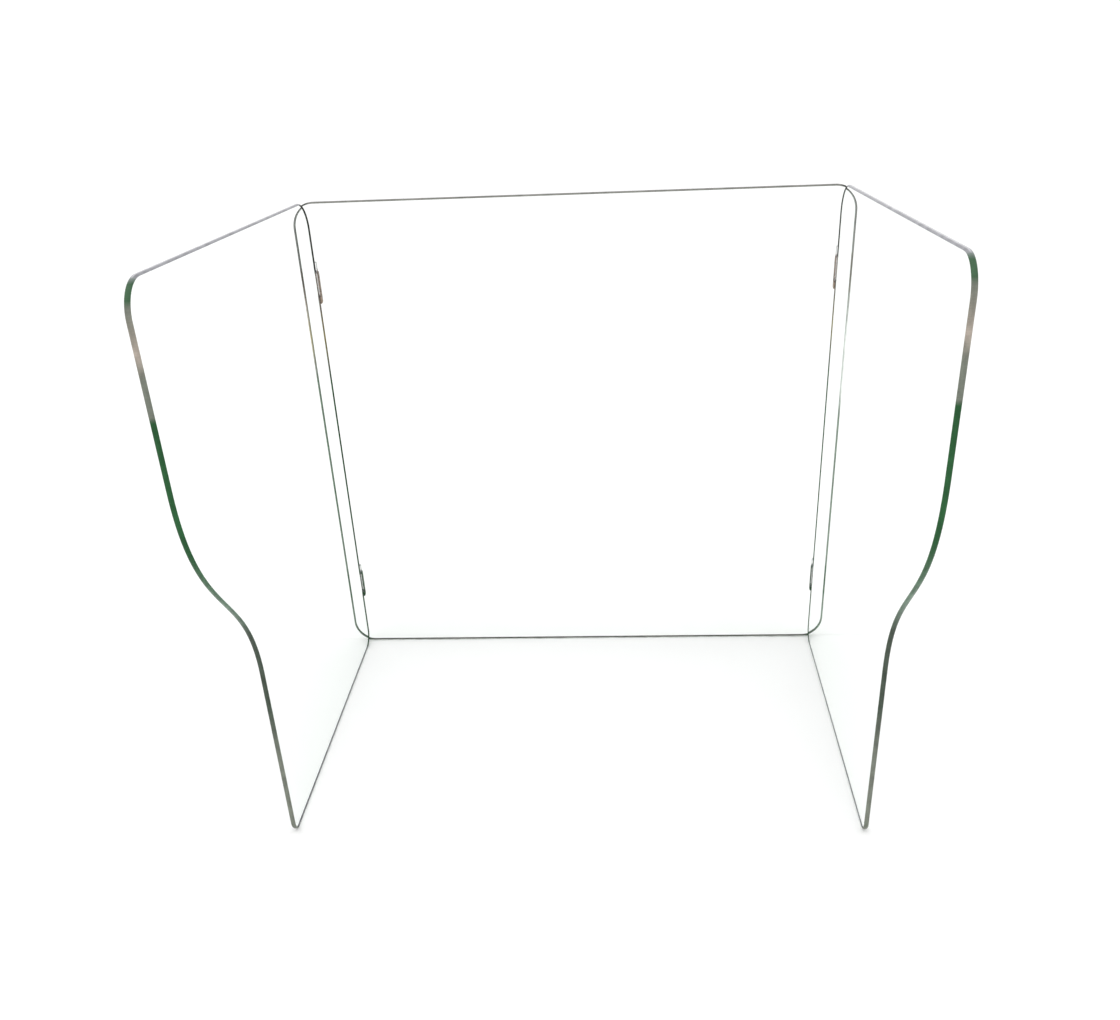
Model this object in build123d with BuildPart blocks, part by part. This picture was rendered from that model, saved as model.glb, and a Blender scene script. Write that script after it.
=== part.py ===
"""Knock-down tabletop sneeze guard: a clear front panel and two clear side wings.

Frame: X runs along the front panel, +Y points from the wings towards the panel,
+Z is up. The origin is on the table, at the centre of the whole guard's footprint.
All sizes are in millimetres.
"""
import os

from build123d import *

# ---- driving dimensions ------------------------------------------------------
sheet = 5.0                # thickness of the acrylic sheet that every piece is cut from
edge_break = 0.4           # flat arris left by polishing along each long edge

panel_width = 660.0
panel_height = 600.0
panel_corner_radius = 30.0

wing_spacing = 619.0       # between the middles of the two wings' thicknesses
wing_depth = 510.0         # rear edge to front edge, above the curve
waist_depth = 400.0        # rear edge to front edge, below the curve
wing_rear_height = 602.0
wing_front_height = 631.0  # the top edge rises towards the front
curve_top = 460.0          # the front edge leaves the vertical here ...
curve_bottom = 210.0       # ... and is vertical again from here down
upper_pull = 130.0         # lengths of the curve's handles: the lower bend is the tighter one
lower_pull = 105.0
rear_top_radius = 35.0
front_top_radius = 30.0
rear_bottom_radius = 20.0
front_bottom_radius = 15.0

hook_tops = (110.0, 520.0)  # height of each hook's top above the table
hook_height = 40.0
lip_drop = 10.0             # how far the lip hangs below the neck
hook_reach = 13.0           # from the wing's rear edge to the hook's tip
hook_tip_radius = 4.0
lip_lead_radius = 2.0       # eases the lip into its slot

gap = 0.3                   # clearance between a wing and the panel
slot_width = sheet + 0.8
slot_headroom = 11.0        # free height above a seated neck, so that the lip can leave
slot_corner_radius = 0.6

# ---- places worked out from them ---------------------------------------------
guard_depth = wing_depth + hook_reach
wing_front = -guard_depth / 2
wing_rear = wing_front + wing_depth
waist = wing_rear - waist_depth
panel_near = wing_rear + gap
panel_far = panel_near + sheet
lip_inner = panel_far + gap
hook_tip = wing_rear + hook_reach


def slot_span(hook_top):
    """Lowest and highest point of the slot that takes the hook with this top."""
    neck_bottom = hook_top - hook_height + lip_drop
    return neck_bottom - gap, hook_top + slot_headroom


def corner(sketch, y, z):
    """The sketch's corner nearest to a point (y, z) of a wing's outline."""
    return sketch.vertices().sort_by_distance((y, z))[0]


def break_edges(part, direction):
    """Polished arris around the outline of both broad faces, but not in the slots."""
    broad_faces = part.faces().filter_by(direction).sort_by(SortBy.AREA)[-2:]
    for face in broad_faces:
        chamfer(face.outer_wire().edges(), length=edge_break)


# ---- front panel ---------------------------------------------------------------
with BuildPart() as front_panel:
    with BuildSketch(Plane.XZ.offset(-panel_near)):
        with Locations((0, panel_height / 2)):
            RectangleRounded(panel_width, panel_height, panel_corner_radius)
        for hook_top in hook_tops:
            slot_bottom, slot_top = slot_span(hook_top)
            for slot_x in (-wing_spacing / 2, wing_spacing / 2):
                with Locations((slot_x, (slot_bottom + slot_top) / 2)):
                    RectangleRounded(
                        slot_width, slot_top - slot_bottom, slot_corner_radius, mode=Mode.SUBTRACT
                    )
    extrude(amount=-sheet)
    break_edges(front_panel, Axis.Y)
front_panel.part.label = "front_panel"


# ---- side wings ------------------------------------------------------------------
def make_wing(middle_x):
    """One side wing with its two hooks, cut from a single sheet."""
    with BuildPart() as wing:
        with BuildSketch(Plane.YZ.offset(middle_x - sheet / 2)) as outline:
            with BuildLine():
                Polyline(
                    (waist, curve_bottom),
                    (waist, 0),
                    (wing_rear, 0),
                    (wing_rear, wing_rear_height),
                    (wing_front, wing_front_height),
                    (wing_front, curve_top),
                )
                Bezier(
                    (wing_front, curve_top),
                    (wing_front, curve_top - upper_pull),
                    (waist, curve_bottom + lower_pull),
                    (waist, curve_bottom),
                )
            make_face()
            fillet(corner(outline, wing_rear, wing_rear_height), rear_top_radius)
            fillet(corner(outline, wing_front, wing_front_height), front_top_radius)
            fillet(corner(outline, wing_rear, 0), rear_bottom_radius)
            fillet(corner(outline, waist, 0), front_bottom_radius)
            for hook_top in hook_tops:
                lip_bottom = hook_top - hook_height
                neck_bottom = lip_bottom + lip_drop
                with BuildLine():
                    Polyline(
                        (wing_rear, neck_bottom),
                        (lip_inner, neck_bottom),
                        (lip_inner, lip_bottom),
                        (hook_tip, lip_bottom),
                        (hook_tip, hook_top),
                        (wing_rear, hook_top),
                        close=True,
                    )
                make_face()
                fillet(corner(outline, hook_tip, hook_top), hook_tip_radius)
                fillet(corner(outline, hook_tip, lip_bottom), hook_tip_radius)
                fillet(corner(outline, lip_inner, lip_bottom), lip_lead_radius)
        extrude(amount=sheet)
        break_edges(wing, Axis.X)
    return wing


left_wing = make_wing(-wing_spacing / 2)
left_wing.part.label = "left_wing"
right_wing = make_wing(wing_spacing / 2)
right_wing.part.label = "right_wing"

os.makedirs("parts", exist_ok=True)
export_step(front_panel.part, "parts/front_panel.step")
export_step(left_wing.part, "parts/left_wing.step")
export_step(right_wing.part, "parts/right_wing.step")
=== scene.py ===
"""A tabletop sneeze guard for a buffet: a clear front panel and two clear side wings.

Each piece is drawn flat as a cutting outline, cut from clear acrylic sheet with its
edges polished, and then stood up in its place. The wings hook into the panel's slots.
"""

import math

import bmesh
import bpy
from mathutils import Matrix, Vector


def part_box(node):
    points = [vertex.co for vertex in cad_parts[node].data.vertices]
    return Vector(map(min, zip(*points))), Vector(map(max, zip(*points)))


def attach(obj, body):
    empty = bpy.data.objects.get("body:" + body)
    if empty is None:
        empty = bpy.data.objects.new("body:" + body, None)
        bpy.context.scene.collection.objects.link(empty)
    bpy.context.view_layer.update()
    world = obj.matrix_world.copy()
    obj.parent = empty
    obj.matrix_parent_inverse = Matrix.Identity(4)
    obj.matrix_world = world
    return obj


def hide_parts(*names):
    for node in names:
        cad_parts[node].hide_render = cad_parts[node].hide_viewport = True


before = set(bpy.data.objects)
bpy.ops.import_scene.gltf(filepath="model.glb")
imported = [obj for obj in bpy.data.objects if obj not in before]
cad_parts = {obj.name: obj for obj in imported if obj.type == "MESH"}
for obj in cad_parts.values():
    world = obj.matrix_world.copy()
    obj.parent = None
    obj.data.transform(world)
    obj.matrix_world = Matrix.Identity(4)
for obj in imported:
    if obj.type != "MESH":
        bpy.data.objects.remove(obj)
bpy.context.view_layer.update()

MM = 0.001

# ---- sizes of the cut sheets, in metres -------------------------------------------
EDGE_ROUND = 1.8 * MM          # radius that polishing leaves along each long edge
ROUND_STEPS = 3                # flat strips that make up that radius
PANEL_CORNER = 30 * MM
CURVE_TOP = 460 * MM           # the wing's front edge leaves the vertical here
CURVE_BOTTOM = 210 * MM        # and is vertical again from here down
UPPER_PULL = 130 * MM          # lengths of the curve's upper and lower handles
LOWER_PULL = 105 * MM
WAIST_DEPTH = 400 * MM         # wing depth below the curve
WING_REAR_HEIGHT = 602 * MM    # where the sloping top would meet the rear edge
WING_FRONT_HEIGHT = 631 * MM   # and the front edge, if the corners weren't rounded
REAR_TOP_CORNER = 35 * MM
FRONT_TOP_CORNER = 30 * MM
REAR_BOTTOM_CORNER = 20 * MM
FRONT_BOTTOM_CORNER = 15 * MM
HOOK_TOPS = (110 * MM, 520 * MM)
HOOK_HEIGHT = 40 * MM
HOOK_REACH = 13 * MM
HOOK_TIP_CORNER = 4 * MM
LIP_DROP = 10 * MM
LIP_LEAD_CORNER = 2 * MM
GAP = 0.3 * MM                 # left between a hook and the panel's back and slot
SLOT_SIDE_PLAY = 0.4 * MM
SLOT_HEADROOM = 11 * MM        # room for the hook to be lifted out
SLOT_CORNER = 0.6 * MM
SHORTEST_CUT = 0.01 * MM       # points of an outline closer than this are one point
JOIN_DISTANCE = 0.002 * MM     # and so are points of a piece closer than this
SHARP_TURN = math.radians(35)  # faces that turn more than this meet in a hard edge
ARC_STEP = math.radians(4)
SLOT_ARC_STEP = math.radians(18)
FEWEST_ARC_STEPS = 3
CURVE_STEPS = 72

ACROSS, DEPTH, HEIGHT = range(3)   # the parts of a place on a piece

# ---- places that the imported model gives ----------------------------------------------
panel_low, panel_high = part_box("front_panel")
left_low, left_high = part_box("left_wing")
right_low, right_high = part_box("right_wing")
SHEET = panel_high.y - panel_low.y
WING_FRONT = left_low.y
WING_REAR = left_high.y - HOOK_REACH
WAIST = WING_REAR - WAIST_DEPTH
LIP_INNER = panel_high.y + GAP
HOOK_TIP = left_high.y


# ---- cutting outlines ------------------------------------------------------------------
def round_corners(corners, arc_step=ARC_STEP):
    """A closed outline from corners (across, up, radius), with an arc at each radius."""
    outline = []
    for i, (across, up, radius) in enumerate(corners):
        here = Vector((across, up))
        if radius == 0:
            outline.append(here)
            continue
        back = Vector(corners[i - 1][:2]) - here
        ahead = Vector(corners[(i + 1) % len(corners)][:2]) - here
        back.normalize()
        ahead.normalize()
        half_angle = back.angle(ahead) / 2
        centre = here + (back + ahead).normalized() * (radius / math.sin(half_angle))
        reach = radius / math.tan(half_angle)
        start = here + back * reach - centre
        end = here + ahead * reach - centre
        turn = start.angle_signed(end)
        steps = max(FEWEST_ARC_STEPS, round(abs(turn) / arc_step))
        for k in range(steps + 1):
            outline.append(centre + Matrix.Rotation(-turn * k / steps, 2) @ start)
    return outline


def front_curve():
    """The S-shaped part of a wing's front edge, from its top end to its bottom end."""
    top = Vector((WING_FRONT, CURVE_TOP))
    top_handle = Vector((WING_FRONT, CURVE_TOP - UPPER_PULL))
    bottom_handle = Vector((WAIST, CURVE_BOTTOM + LOWER_PULL))
    bottom = Vector((WAIST, CURVE_BOTTOM))
    points = []
    for k in range(CURVE_STEPS + 1):
        t = k / CURVE_STEPS
        s = 1 - t
        points.append(
            s**3 * top + 3 * s * s * t * top_handle + 3 * s * t * t * bottom_handle + t**3 * bottom
        )
    return points


def wing_outline():
    """One wing seen from its right side: depth across, height up, anticlockwise."""
    corners = [(WAIST, 0, FRONT_BOTTOM_CORNER), (WING_REAR, 0, REAR_BOTTOM_CORNER)]
    for hook_top in HOOK_TOPS:
        lip_bottom = hook_top - HOOK_HEIGHT
        neck_bottom = lip_bottom + LIP_DROP
        corners += [
            (WING_REAR, neck_bottom, 0),
            (LIP_INNER, neck_bottom, 0),
            (LIP_INNER, lip_bottom, LIP_LEAD_CORNER),
            (HOOK_TIP, lip_bottom, HOOK_TIP_CORNER),
            (HOOK_TIP, hook_top, HOOK_TIP_CORNER),
            (WING_REAR, hook_top, 0),
        ]
    corners += [
        (WING_REAR, WING_REAR_HEIGHT, REAR_TOP_CORNER),
        (WING_FRONT, WING_FRONT_HEIGHT, FRONT_TOP_CORNER),
    ]
    corners += [(*point, 0) for point in front_curve()]
    outline = round_corners(corners)
    # the rounded front corner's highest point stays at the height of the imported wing
    for point in outline:
        point.y = min(point.y, left_high.z)
    return outline


def panel_outline():
    """The front panel's outer outline: width across, height up, anticlockwise."""
    return round_corners(
        [
            (panel_low.x, panel_low.z, PANEL_CORNER),
            (panel_high.x, panel_low.z, PANEL_CORNER),
            (panel_high.x, panel_high.z, PANEL_CORNER),
            (panel_low.x, panel_high.z, PANEL_CORNER),
        ]
    )


def slot_outlines():
    """The four slots in the panel, clockwise, one for each hook."""
    slots = []
    for low, high in ((left_low, left_high), (right_low, right_high)):
        left_side = low.x - SLOT_SIDE_PLAY
        right_side = high.x + SLOT_SIDE_PLAY
        for hook_top in HOOK_TOPS:
            bottom = hook_top - HOOK_HEIGHT + LIP_DROP - GAP
            top = hook_top + SLOT_HEADROOM
            slots.append(
                round_corners(
                    [
                        (left_side, bottom, SLOT_CORNER),
                        (left_side, top, SLOT_CORNER),
                        (right_side, top, SLOT_CORNER),
                        (right_side, bottom, SLOT_CORNER),
                    ],
                    arc_step=SLOT_ARC_STEP,
                )
            )
    return slots


# ---- the flat drawing of a piece -----------------------------------------------------
def without_repeats(outline):
    """The outline without points that lie on the one before."""
    return [p for i, p in enumerate(outline) if (p - outline[i - 1]).length > SHORTEST_CUT]


def flat_drawing(name, outer, holes=()):
    """A wire drawing of the cuts. Each point knows which way is out of the sheet, how far
    along the cut it lies, and whether the cut is the sheet's outer one, whose long edges
    get rounded, or a slot's, whose edges stay square."""
    points, wires, outward, along, outer_cuts = [], [], [], [], []
    for outline, outer_cut in [(outer, 1.0)] + [(hole, 0.0) for hole in holes]:
        outline = without_repeats(outline)
        count = len(outline)
        first = len(points)
        travelled = 0.0
        # the first point comes twice, so that the length along the cut can end there
        for i in range(count + 1):
            here = outline[i % count]
            before = (here - outline[(i - 1) % count]).normalized()
            after = (outline[(i + 1) % count] - here).normalized()
            out_before = Vector((before.y, -before.x))
            out_after = Vector((after.y, -after.x))
            out = (out_before + out_after) / (1 + out_before.dot(out_after))
            points.append((here.x, here.y, 0))
            outward.append((out.x, out.y, 0))
            along.append(travelled)
            outer_cuts.append(outer_cut)
            travelled += (outline[(i + 1) % count] - here).length
        wires += [(first + i, first + i + 1) for i in range(count)]
    mesh = bpy.data.meshes.new(name)
    mesh.from_pydata(points, wires, [])
    out_attribute = mesh.attributes.new("outward", "FLOAT_VECTOR", "POINT")
    out_attribute.data.foreach_set("vector", [c for o in outward for c in o])
    along_attribute = mesh.attributes.new("along", "FLOAT", "POINT")
    along_attribute.data.foreach_set("value", along)
    outer_attribute = mesh.attributes.new("outer_cut", "FLOAT", "POINT")
    outer_attribute.data.foreach_set("value", outer_cuts)
    return mesh


# ---- cutting and polishing a sheet ------------------------------------------------------
class Tree:
    """Short names for adding linked nodes to a node tree."""

    def __init__(self, tree):
        self.tree = tree

    def add(self, kind, inputs=(), **settings):
        """Add a node, set its properties, then fill inputs by name or number."""
        node = self.tree.nodes.new(kind)
        for name, value in settings.items():
            setattr(node, name, value)
        for key, value in dict(inputs).items():
            if isinstance(value, bpy.types.NodeSocket):
                self.tree.links.new(value, node.inputs[key])
            else:
                node.inputs[key].default_value = value
        return node

    def math(self, operation, *values):
        """A Math node's result."""
        return self.add("ShaderNodeMath", enumerate(values), operation=operation).outputs[0]

    def link(self, result, socket):
        """Join a result to an input."""
        self.tree.links.new(result, socket)

    def map_range(self, value, from_low, from_high, to_low, to_high):
        """A value carried from one range to another, held at its ends."""
        inputs = {0: value, 1: from_low, 2: from_high, 3: to_low, 4: to_high}
        return self.add("ShaderNodeMapRange", inputs).outputs[0]

    def scale(self, vector, by):
        """A vector or colour times a number."""
        node = self.add("ShaderNodeVectorMath", {0: vector, "Scale": by}, operation="SCALE")
        return node.outputs[0]

    def mix(self, share, first, second):
        """A colour between first and second."""
        return self.add("ShaderNodeMix", {0: share, 6: first, 7: second}, data_type="RGBA").outputs[2]

    def noise(self, place, detail=2.0, roughness=0.5):
        """A noise value over already scaled coordinates."""
        inputs = {"Vector": place, "Scale": 1.0, "Detail": detail, "Roughness": roughness}
        return self.add("ShaderNodeTexNoise", inputs).outputs[0]

    def vector_math(self, operation, *values):
        """A Vector Math node's vector result."""
        node = self.add("ShaderNodeVectorMath", enumerate(values), operation=operation)
        return node.outputs["Vector"]


def sheet_cutter():
    """The node tree that cuts a sheet along a flat drawing and polishes its edges."""
    tree = bpy.data.node_groups.new("cut and polish sheet", "GeometryNodeTree")
    for name, kind in (
        ("Drawing", "NodeSocketGeometry"),
        ("Sheet thickness", "NodeSocketFloat"),
        ("Edge rounding", "NodeSocketFloat"),
        ("Face finish", "NodeSocketMaterial"),
        ("Edge finish", "NodeSocketMaterial"),
    ):
        tree.interface.new_socket(name, in_out="INPUT", socket_type=kind)
    tree.interface.new_socket("Piece", in_out="OUTPUT", socket_type="NodeSocketGeometry")
    t = Tree(tree)
    given = t.add("NodeGroupInput").outputs

    def named(name, kind):
        node = t.add("GeometryNodeInputNamedAttribute", data_type=kind)
        node.inputs["Name"].default_value = name
        return node.outputs["Attribute"]

    outward = named("outward", "FLOAT_VECTOR")
    along = named("along", "FLOAT")
    rounding = t.math("MULTIPLY", named("outer_cut", "FLOAT"), given["Edge rounding"])
    flat = t.math("SUBTRACT", given["Sheet thickness"], t.math("MULTIPLY", rounding, 2.0))

    def shift(out_share, up_share):
        """A move out of the sheet and up through it, as shares of the rounding."""
        out = t.scale(outward, t.math("MULTIPLY", rounding, out_share))
        up = t.add("ShaderNodeCombineXYZ", {"Z": t.math("MULTIPLY", rounding, up_share)}).outputs[0]
        return t.vector_math("ADD", out, up)

    # the face line, then the edge band in strips: rounded, flat, rounded
    face_line = t.add(
        "GeometryNodeSetPosition", {"Geometry": given["Drawing"], "Offset": shift(-1.0, 0.0)}
    ).outputs[0]
    turns = [math.pi / 2 * k / ROUND_STEPS for k in range(ROUND_STEPS + 1)]
    steps = [
        (math.sin(after) - math.sin(before), math.cos(before) - math.cos(after))
        for before, after in zip(turns, turns[1:])
    ]
    moves = [shift(out, up) for out, up in steps]
    moves.append(t.add("ShaderNodeCombineXYZ", {"Z": flat}).outputs[0])
    moves += [shift(-out, up) for out, up in reversed(steps)]
    band = face_line
    top = None
    for move in moves:
        inputs = {"Mesh": band, "Offset Scale": 0.0}
        if top is not None:
            inputs["Selection"] = top
        strip = t.add("GeometryNodeExtrudeMesh", inputs, mode="EDGES")
        top = strip.outputs["Top"]
        band = t.add(
            "GeometryNodeSetPosition",
            {"Geometry": strip.outputs["Mesh"], "Selection": top, "Offset": move},
        ).outputs[0]
    place = t.add("GeometryNodeInputPosition").outputs[0]
    through = t.add("ShaderNodeSeparateXYZ", {0: place}).outputs["Z"]
    cut_place = t.add("ShaderNodeCombineXYZ", {"X": along, "Y": through}).outputs[0]
    band = t.add(
        "GeometryNodeStoreNamedAttribute",
        {"Geometry": band, "Name": "cut_edge_map", "Value": cut_place},
        data_type="FLOAT2",
        domain="CORNER",
    ).outputs[0]
    band = t.add(
        "GeometryNodeStoreNamedAttribute",
        {"Geometry": band, "Name": "polished", "Value": True},
        data_type="BOOLEAN",
        domain="FACE",
    ).outputs[0]

    # the two broad faces
    face_curve = t.add("GeometryNodeMeshToCurve", {0: face_line}).outputs[0]
    face = t.add("GeometryNodeFillCurve", {0: face_curve}, mode="TRIANGLES").outputs[0]
    up_sheet = t.add("ShaderNodeCombineXYZ", {"Z": given["Sheet thickness"]}).outputs[0]
    far_face = t.add("GeometryNodeSetPosition", {"Geometry": face, "Offset": up_sheet}).outputs[0]
    near_face = t.add("GeometryNodeFlipFaces", {"Mesh": face}).outputs[0]
    joined = t.add("GeometryNodeJoinGeometry")
    for part in (near_face, far_face, band):
        tree.links.new(part, joined.inputs[0])
    closed = t.add(
        "GeometryNodeMergeByDistance", {"Geometry": joined.outputs[0], "Distance": JOIN_DISTANCE}
    ).outputs[0]
    real = t.add("GeometryNodeRealizeInstances", {0: closed}).outputs[0]
    faced = t.add(
        "GeometryNodeSetMaterial", {"Geometry": real, "Material": given["Face finish"]}
    ).outputs[0]
    edged = t.add(
        "GeometryNodeSetMaterial",
        {
            "Geometry": faced,
            "Selection": named("polished", "BOOLEAN"),
            "Material": given["Edge finish"],
        },
    ).outputs[0]
    t.add("NodeGroupOutput", {0: edged})
    return tree


def keep_used_finishes(mesh):
    """Drop the empty material slot that the cutter leaves, without changing any face."""
    finishes = [finish for finish in mesh.materials if finish]
    of_face = [finishes.index(mesh.materials[face.material_index]) for face in mesh.polygons]
    mesh.materials.clear()
    for finish in finishes:
        mesh.materials.append(finish)
    mesh.polygons.foreach_set("material_index", of_face)


def cut_piece(name, drawing, cutter, settings, place):
    """Run the cutter on a drawing and return the finished piece, stood up in its place."""
    blank = bpy.data.objects.new(name + "_drawing", drawing)
    bpy.context.scene.collection.objects.link(blank)
    cut = blank.modifiers.new("cut and polish sheet", "NODES")
    cut.node_group = cutter
    for item in cutter.interface.items_tree:
        if item.item_type == "SOCKET" and item.in_out == "INPUT" and item.name in settings:
            cut[item.identifier] = settings[item.name]
    bpy.context.view_layer.update()
    view = bpy.context.evaluated_depsgraph_get()
    mesh = bpy.data.meshes.new_from_object(blank.evaluated_get(view))
    bpy.data.objects.remove(blank)
    mesh.name = name
    keep_used_finishes(mesh)
    mesh.transform(place)
    shell = bmesh.new()
    shell.from_mesh(mesh)
    bmesh.ops.remove_doubles(shell, verts=shell.verts, dist=JOIN_DISTANCE)
    bmesh.ops.recalc_face_normals(shell, faces=shell.faces)
    for face in shell.faces:
        face.smooth = True
    for edge in shell.edges:
        finishes = {face.material_index for face in edge.link_faces}
        edge.smooth = len(finishes) == 1 and edge.calc_face_angle() < SHARP_TURN
    shell.to_mesh(mesh)
    shell.free()
    piece = bpy.data.objects.new(name, mesh)
    bpy.context.scene.collection.objects.link(piece)
    return piece


# ---- finishes ------------------------------------------------------------------------------
def srgb(red, green, blue):
    """A colour given as 0 to 255 on a swatch card, in linear light."""
    linear = [
        c / 255 / 12.92 if c <= 10 else ((c / 255 + 0.055) / 1.055) ** 2.4
        for c in (red, green, blue)
    ]
    return (*linear, 1.0)


def new_finish(name):
    """An empty material, its tree and the socket that its surface goes into."""
    finish = bpy.data.materials.new(name)
    finish.use_nodes = True
    finish.node_tree.nodes.clear()
    t = Tree(finish.node_tree)
    surface = t.add("ShaderNodeOutputMaterial").inputs["Surface"]
    return finish, t, surface


# colours painted on the cut edges, as on a 0 to 255 swatch card: the greens are the sheet's own tint,
# darkened with painted shade, and the greys, stones, straw and tan are painted reflections of the
# surroundings
DEEP_GREEN = (40, 85, 50)
LEAF_GREEN = (65, 95, 70)
PALE_GREEN = (100, 120, 105)
INK_GREEN = (10, 80, 30)
INK = (45, 45, 40)
SMOKE = (70, 80, 70)
STONE = (115, 120, 110)
WARM_STONE = (160, 150, 140)
STRAW = (165, 150, 95)
TAN = (160, 140, 125)
STEEL = (145, 145, 150)
GRAPHITE = (125, 125, 120)
SILVER = (190, 190, 195)
FROST = (225, 230, 225)

# the bands of colour up an edge, as (height in mm, swatch), which pass into each other. They are
# painted light: painted reflections and painted shade laid by height over the sheet's green tint
FRONT_BANDS = (
    (20, STONE),
    (110, STONE),
    (165, SMOKE),
    (260, SMOKE),
    (310, PALE_GREEN),
    (400, DEEP_GREEN),
    (520, DEEP_GREEN),
    (525, STONE),
    (555, STONE),
    (575, WARM_STONE),
    (610, STONE),
    (615, LEAF_GREEN),
    (625, LEAF_GREEN),
    (630, STEEL),
)
# along the wings' rear edges and the panel's left side, seen through the sheet, the near-black
# INK_GREEN and INK are painted shade
REAR_BANDS = (
    (40, LEAF_GREEN),
    (140, LEAF_GREEN),
    (230, INK_GREEN),
    (385, INK_GREEN),
    (400, STONE),
    (440, STRAW),
    (480, WARM_STONE),
    (510, INK),
)
# up the panel's right side, the pale FROST band from 360 to 430 mm is a painted highlight, and the
# near-black green below it is painted shade
BRIGHT_BANDS = (
    (40, INK_GREEN),
    (325, INK_GREEN),
    (360, FROST),
    (430, FROST),
    (480, STONE),
    (560, INK),
)
# painted reflection colours of a hook, used on its faces and cut edges, and of the hooks as seen in
# the panel's slots
HOOK_BANDS = ((250, LEAF_GREEN), (350, TAN))
SLOT_SWATCHES = (LEAF_GREEN, TAN)
SLOT_FADE = 5

BAND_TOP = 640 * MM            # the colour ramps run from the table to here
ACRYLIC_IOR = 1.49
FACE_BEND = 1.15               # less than acrylic's, so that no glare hides an edge behind it
FACE_GLOSS = 0.2
FACE_TINT = (0.99, 1.0, 0.993, 1)
FACE_ROUGHNESS = (0.01, 0.12)
WIPE_MARKS = (9, 9, 26)        # marks to the metre, across, in depth and in height
HOOK_FACE_PAINTED_SHARE = 0.55         # how much of a hook's face is painted with its edges' colour: painted light
HOOK_FACE_ROUGHNESS = 0.3
HOOK_ROOT = 1 * MM             # a hook's own look starts this far behind the rear edge
HOOK_FACE_FADE = 2 * MM

HIGHLIGHT_LINE = 0.3 * MM         # half the width of the painted highlight line along a top
HIGHLIGHT_LINE_FADE = 1.0 * MM    # and where it has passed into the top's painted reflection colour
NEARLY_LEVEL = (0.95, 0.99)    # how far a cut faces up or down to count as top or foot
SLOW_CHANGES = (70, 160, 1)    # changes to the metre, along the cut and through the sheet
POLISH_MARKS = (900, 90, 1)
EDGE_ROUGHNESS = (0.08, 0.22)
MARK_DEPTH = 0.05 * MM


def slot_bands():
    """A slot's walls: painted pale with painted light, and with a painted reflection of the hook
    where the hook stands in it.
    """
    bands = []
    for hook_top, swatch in zip(HOOK_TOPS, SLOT_SWATCHES):
        top = hook_top / MM
        bottom = (hook_top - HOOK_HEIGHT) / MM
        bands += [(bottom - SLOT_FADE, FROST), (bottom, swatch)]
        bands += [(top, swatch), (top + SLOT_FADE, FROST)]
    return bands


def colour_by_height(t, height, bands):
    """A colour ramp up the piece through its bands."""
    ramp = t.add("ShaderNodeValToRGB", {0: t.math("DIVIDE", height, BAND_TOP)})
    stops = ramp.color_ramp.elements
    ready = len(stops)
    for i, (at, swatch) in enumerate(bands):
        share = at * MM / BAND_TOP
        stop = stops[i] if i < ready else stops.new(share)
        stop.position = share
        stop.color = srgb(*swatch)
    return ramp.outputs[0]


def clear_sheet_finish(name, hook_bands=None):
    """The sheet's broad faces: clear, with faint wipe marks in the gloss. With hook_bands,
    a hook's faces are partly painted with the painted reflection colours of its own cut edges, as a
    hook is so short that its faces mostly show them."""
    finish, t, surface = new_finish(name)
    place = t.add("ShaderNodeTexCoord").outputs["Object"]
    wipe_place = t.add("ShaderNodeMapping", {"Vector": place, "Scale": WIPE_MARKS}).outputs[0]
    wipes = t.noise(wipe_place, detail=5.0, roughness=0.6)
    gloss = t.map_range(wipes, 0.3, 0.8, *FACE_ROUGHNESS)
    bend = {"Color": FACE_TINT, "Roughness": 0.0, "IOR": FACE_BEND}
    clear = t.add("ShaderNodeBsdfRefraction", bend).outputs[0]
    shine_look = {"Color": (1, 1, 1, 1), "Roughness": gloss}
    shine = t.add("ShaderNodeBsdfAnisotropic", shine_look).outputs[0]
    fresnel = t.add("ShaderNodeFresnel", {"IOR": FACE_BEND}).outputs[0]
    shine_share = t.math("MULTIPLY", fresnel, FACE_GLOSS)
    seen = t.add("ShaderNodeMixShader", {0: shine_share, 1: clear, 2: shine}).outputs[0]
    if hook_bands:
        split = t.add("ShaderNodeSeparateXYZ", {0: place}).outputs
        # a hook's faces get painted light: its edges' painted reflection colours
        hook_colour = colour_by_height(t, split[HEIGHT], hook_bands)
        hook_look = {"Base Color": hook_colour, "Roughness": HOOK_FACE_ROUGHNESS}
        painted_hook_light = t.add("ShaderNodeBsdfPrincipled", hook_look).outputs[0]
        start = WING_REAR + HOOK_ROOT
        on_hook = t.map_range(split[DEPTH], start, start + HOOK_FACE_FADE, 0.0, HOOK_FACE_PAINTED_SHARE)
        seen = t.add("ShaderNodeMixShader", {0: on_hook, 1: seen, 2: painted_hook_light}).outputs[0]
    lets_lamps_through = t.add("ShaderNodeBsdfTransparent").outputs[0]
    is_shadow = t.add("ShaderNodeLightPath").outputs["Is Shadow Ray"]
    mixed = t.add("ShaderNodeMixShader", {0: is_shadow, 1: seen, 2: lets_lamps_through}).outputs[0]
    t.link(mixed, surface)
    return finish


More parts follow.
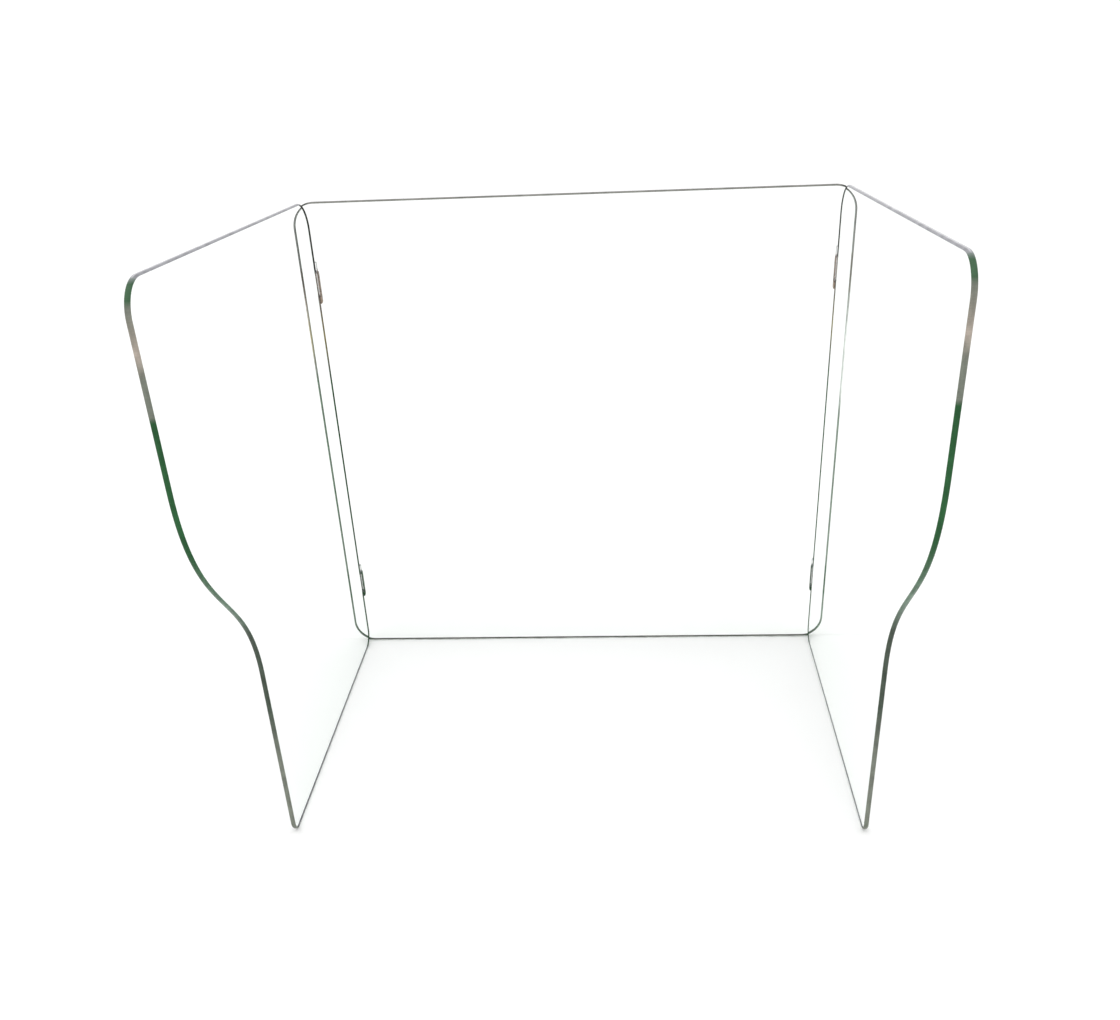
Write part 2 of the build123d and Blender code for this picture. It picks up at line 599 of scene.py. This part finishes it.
def polished_edge_finish(name, axis, passing, first_bands, second_bands, top_reflection_swatch):
    """A cut edge, polished, with painted light in its colour: its bands are painted reflections of
    the surroundings and painted shade over the sheet's green tint. The first bands pass into the
    second between the two places in passing, which lie along the axis. The sheet's top takes the
    painted reflection colour of its top swatch, with a painted highlight line along its middle."""
    finish, t, surface = new_finish(name)
    coordinates = t.add("ShaderNodeTexCoord").outputs
    split = t.add("ShaderNodeSeparateXYZ", {0: coordinates["Object"]}).outputs
    cut_map = t.add("ShaderNodeUVMap", uv_map="cut_edge_map").outputs[0]

    first = colour_by_height(t, split[HEIGHT], first_bands)
    second = colour_by_height(t, split[HEIGHT], second_bands)
    tint = t.mix(t.map_range(split[axis], *passing, 0.0, 1.0), first, second)
    if axis == DEPTH:
        # a hook's cut edges take the hook's painted reflection colours
        on_hook = t.map_range(split[DEPTH], WING_REAR, WING_REAR + HOOK_ROOT, 0.0, 1.0)
        tint = t.mix(on_hook, tint, colour_by_height(t, split[HEIGHT], HOOK_BANDS))
    else:
        # a slot's walls take the painted light and painted hook reflection of slot_bands
        outer = t.add("ShaderNodeAttribute", attribute_name="outer_cut").outputs["Fac"]
        tint = t.mix(outer, colour_by_height(t, split[HEIGHT], slot_bands()), tint)

    # the top and foot of the sheet are told by which way the cut faces in the sheet's
    # plane, so that its rounded long edges count as well. The top is painted with a reflection
    # colour and a painted highlight line along its middle; the foot is painted near white, painted
    # light
    in_plane = (0, 1, 1) if axis == DEPTH else (1, 0, 1)
    facing = t.vector_math("NORMALIZE", t.vector_math("MULTIPLY", coordinates["Normal"], in_plane))
    upward = t.add("ShaderNodeSeparateXYZ", {0: facing}).outputs[HEIGHT]
    through = t.add("ShaderNodeSeparateXYZ", {0: cut_map}).outputs["Y"]
    off_middle = t.math("ABSOLUTE", t.math("SUBTRACT", through, SHEET / 2))
    towards_side = t.map_range(off_middle, HIGHLIGHT_LINE, HIGHLIGHT_LINE_FADE, 0.0, 1.0)
    # a painted highlight line along the top's middle, over the top's painted reflection colour
    top_reflection_tint = t.mix(towards_side, srgb(*SILVER), srgb(*top_reflection_swatch))
    tilted, level = NEARLY_LEVEL
    tint = t.mix(t.map_range(upward, tilted, level, 0.0, 1.0), tint, top_reflection_tint)
    # the foot is painted near white: painted light that lightens the line along the sheet's foot
    tint = t.mix(t.map_range(upward, -tilted, -level, 0.0, 1.0), tint, srgb(*FROST))

    # slow changes along the cut, and fine marks that the polisher leaves across it
    slow_place = t.add("ShaderNodeMapping", {"Vector": cut_map, "Scale": SLOW_CHANGES}).outputs[0]
    mark_place = t.add("ShaderNodeMapping", {"Vector": cut_map, "Scale": POLISH_MARKS}).outputs[0]
    slow = t.map_range(t.noise(slow_place, detail=3.0), 0.3, 0.7, 0.8, 1.25)
    marks = t.noise(mark_place, detail=2.0)
    colour = t.scale(tint, t.math("MULTIPLY", slow, t.map_range(marks, 0.3, 0.7, 0.93, 1.07)))
    relief = {"Strength": 0.15, "Distance": MARK_DEPTH, "Height": marks}
    bump = t.add("ShaderNodeBump", relief).outputs[0]
    polish = {
        "Base Color": colour,
        "Roughness": t.map_range(marks, 0.2, 0.8, *EDGE_ROUGHNESS),
        "IOR": ACRYLIC_IOR,
        "Specular IOR Level": 0.1,
        "Normal": bump,
    }
    outside = t.add("ShaderNodeBsdfPrincipled", polish).outputs[0]
    # seen from inside the sheet, the edge has no gloss of its own
    matte = {"Base Color": colour, "Roughness": 1.0, "Specular IOR Level": 0.0}
    inside = t.add("ShaderNodeBsdfPrincipled", matte).outputs[0]
    from_inside = t.add("ShaderNodeNewGeometry").outputs["Backfacing"]
    both = t.add("ShaderNodeMixShader", {0: from_inside, 1: outside, 2: inside}).outputs[0]
    t.link(both, surface)
    return finish


panel_face = clear_sheet_finish("clear acrylic panel")
wing_face = clear_sheet_finish("clear acrylic wing", HOOK_BANDS)
wing_edge = polished_edge_finish(
    "polished wing edge", DEPTH, (40 * MM, 160 * MM), FRONT_BANDS, REAR_BANDS, STEEL
)
panel_edge = polished_edge_finish(
    "polished panel edge", ACROSS, (-150 * MM, 150 * MM), REAR_BANDS, BRIGHT_BANDS, GRAPHITE
)

# ---- the three pieces ------------------------------------------------------------------------
STAND_PANEL = Matrix(((1, 0, 0, 0), (0, 0, -1, panel_high.y), (0, 1, 0, 0), (0, 0, 0, 1)))


def stand_wing(low_x):
    """Turns a flat wing upright, with its left face at low_x."""
    return Matrix(((0, 0, 1, low_x), (1, 0, 0, 0), (0, 1, 0, 0), (0, 0, 0, 1)))


cutter = sheet_cutter()
for node, outer, holes, face_finish, edge_finish, place in (
    ("front_panel", panel_outline(), slot_outlines(), panel_face, panel_edge, STAND_PANEL),
    ("left_wing", wing_outline(), (), wing_face, wing_edge, stand_wing(left_low.x)),
    ("right_wing", wing_outline(), (), wing_face, wing_edge, stand_wing(right_low.x)),
):
    drawing = flat_drawing(node + "_drawing", outer, holes)
    settings = {
        "Sheet thickness": SHEET,
        "Edge rounding": EDGE_ROUND,
        "Face finish": face_finish,
        "Edge finish": edge_finish,
    }
    piece = cut_piece(node + "_sheet", drawing, cutter, settings, place)
    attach(piece, node)
    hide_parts(node)

# ---- floor, light and camera ------------------------------------------------------------------
TABLE_SIZE = 2000              # so wide that its far edge lies at the horizon
TABLE_WHITE = (0.97, 0.97, 0.97, 1)
ROOM_LIGHT = 1.1
SOFTBOX_SIZE = 3.0
SOFTBOX_POWER = 14
SOFTBOX_PLACE = Vector((-0.8, -0.6, 3.2))
SOFTBOX_AIM = Vector((0, 0, 0.3))
LENS = 34.72                   # on a sensor that is SENSOR wide, both in mm
SENSOR = 36
SHIFT_ACROSS = -0.0027
SHIFT_UP = 0.057
CAMERA_PLACE = Vector((0.0613, -1.0439, 0.8068))
TURN_LEFT = math.radians(3.97)
LOOK_DOWN = math.radians(28.46)
TILT = math.radians(-2.64)

bpy.ops.mesh.primitive_plane_add(size=TABLE_SIZE, location=(0, 0, 0))
table = bpy.context.object
table.name = "table_top"
table_finish, t, surface = new_finish("white table top")
table_paint = {"Base Color": TABLE_WHITE, "Roughness": 0.6, "Specular IOR Level": 0.1}
t.link(t.add("ShaderNodeBsdfPrincipled", table_paint).outputs[0], surface)
table.data.materials.append(table_finish)

world = bpy.data.worlds.new("soft studio light")
world.use_nodes = True
room = world.node_tree.nodes["Background"].inputs
room["Color"].default_value = (1, 1, 1, 1)
room["Strength"].default_value = ROOM_LIGHT
bpy.context.scene.world = world

softbox_light = bpy.data.lights.new("softbox", "AREA")
softbox_light.shape = "RECTANGLE"
softbox_light.size = SOFTBOX_SIZE
softbox_light.size_y = SOFTBOX_SIZE
softbox_light.energy = SOFTBOX_POWER
softbox = bpy.data.objects.new("softbox", softbox_light)
softbox.location = SOFTBOX_PLACE
softbox.rotation_euler = (SOFTBOX_AIM - SOFTBOX_PLACE).to_track_quat("-Z", "Y").to_euler()
bpy.context.scene.collection.objects.link(softbox)

view = bpy.data.cameras.new("camera")
view.sensor_fit = "HORIZONTAL"
view.sensor_width = SENSOR
view.lens = LENS
view.shift_x = SHIFT_ACROSS
view.shift_y = SHIFT_UP
view.clip_start = 0.01
view.clip_end = 5000
camera = bpy.data.objects.new("camera", view)
turned = Matrix.Rotation(TURN_LEFT, 3, "Z")
look_level = Matrix.Rotation(math.pi / 2, 3, "X")
lowered = Matrix.Rotation(-LOOK_DOWN, 3, "X")
tilted = Matrix.Rotation(TILT, 3, "Z")
aim = turned @ look_level @ lowered @ tilted
camera.matrix_world = Matrix.LocRotScale(CAMERA_PLACE, aim, None)
bpy.context.scene.collection.objects.link(camera)
bpy.context.scene.camera = camera
bpy.context.scene.view_settings.view_transform = "Standard"
